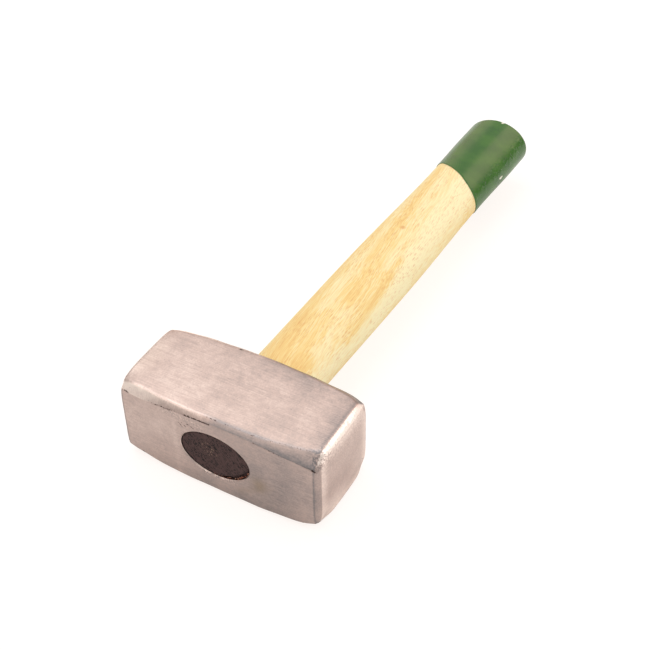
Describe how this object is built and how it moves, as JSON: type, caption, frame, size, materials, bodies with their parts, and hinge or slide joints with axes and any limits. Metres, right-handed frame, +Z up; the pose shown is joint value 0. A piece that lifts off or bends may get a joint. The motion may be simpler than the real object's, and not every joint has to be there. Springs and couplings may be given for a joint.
{
  "type": "lump hammer",
  "caption": "Short-handled lump hammer: a chamfered square steel head with crowned striking faces and an oval eye, on an oval wooden handle with an enamelled end.",
  "frame": {"origin": "middle of the head's lower cheek, the flat face the hammer lies on", "axes": "+X along the head, +Y along the handle away from the eye face, +Z up from the lower cheek to the upper one"},
  "size_m": [0.101, 0.2798, 0.044],
  "materials": {
    "ground_steel": "forged, ground on a belt, warm grey with dark scale left at the edges",
    "pale_wood": "sanded pale hardwood with short brown pores",
    "wedge_wood": "split hardwood",
    "wedge_steel": "pressed steel",
    "dark_seal": "dark brown-black resin coat over end grain",
    "green_enamel": "dipped green enamel, glossy"
  },
  "bodies": {
    "root": {"head": "ground_steel", "handle": "pale_wood", "wood_wedge": "wedge_wood", "steel_wedge": "wedge_steel", "eye_seal": "dark_seal", "dip_coat": "green_enamel"}
  },
  "joints": []
}
